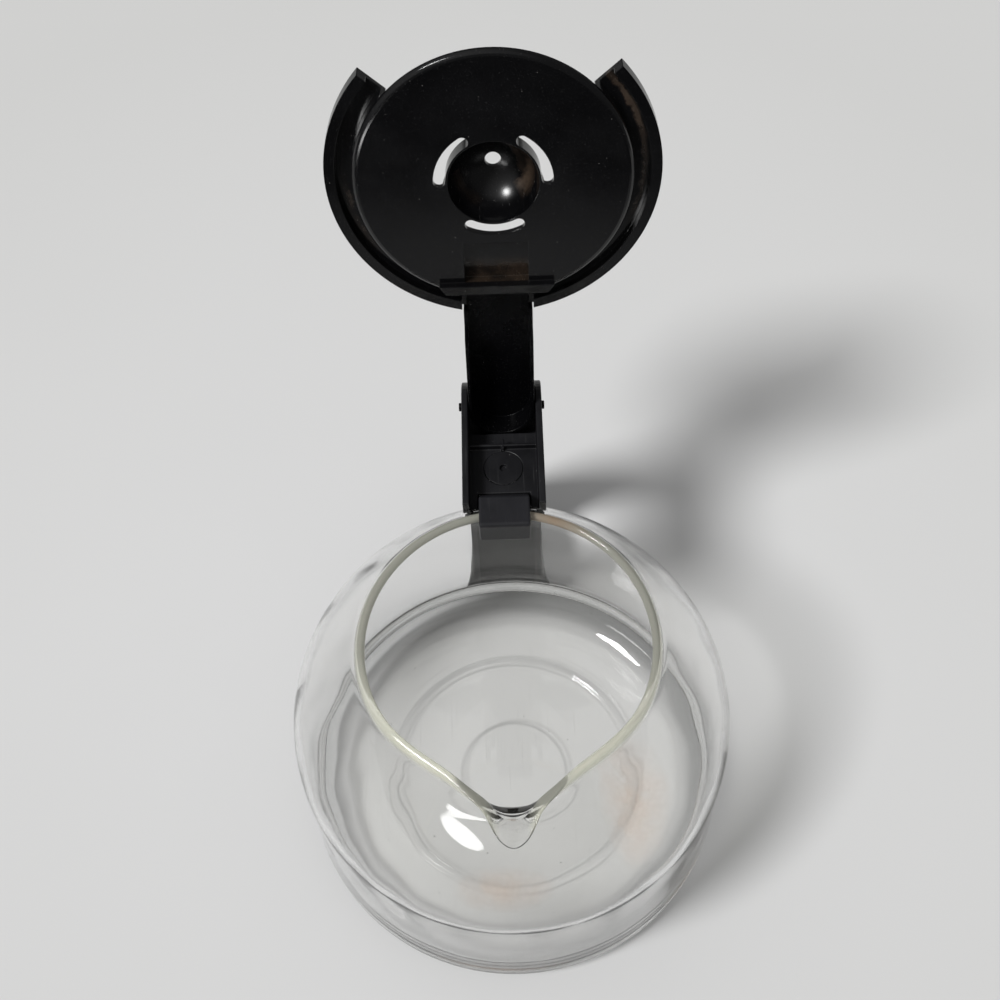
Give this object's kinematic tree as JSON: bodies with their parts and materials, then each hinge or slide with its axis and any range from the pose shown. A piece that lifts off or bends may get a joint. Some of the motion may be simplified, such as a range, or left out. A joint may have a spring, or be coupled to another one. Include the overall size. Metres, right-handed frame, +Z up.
{
  "type": "coffee server carafe",
  "caption": "Glass coffee server with a short pouring lip, a black loop handle clipped over the rim and a black hinged brewing lid swung open.",
  "frame": {"origin": "on the jug's axis, on the flat that the jug stands on", "axes": "+Z up along the jug's axis, -Y towards the pouring lip, +Y towards the handle, +X to the right seen from the lip"},
  "size_m": [0.1532, 0.2036, 0.2503],
  "materials": {
    "glass": "clear",
    "handle": "satin",
    "clip": "satin",
    "lid": "gloss",
    "lever": "semi-gloss",
    "pad": "matte"
  },
  "bodies": {
    "jug": {"glass_jug": "glass", "saddle_pad": "pad", "handle_frame": "handle", "grip_cover": "handle", "rim_clip": "clip", "clip_rivet": "clip"},
    "lid": {"lid_cap": "lid", "lid_lever": "lever"}
  },
  "joints": [
    {"name": "lid_hinge", "type": "hinge", "parent": "jug", "child": "lid", "pos_m": [0, 0.0883, 0.1232], "axis": [1, 0, 0], "range_deg": [0, 105.6]}
  ]
}
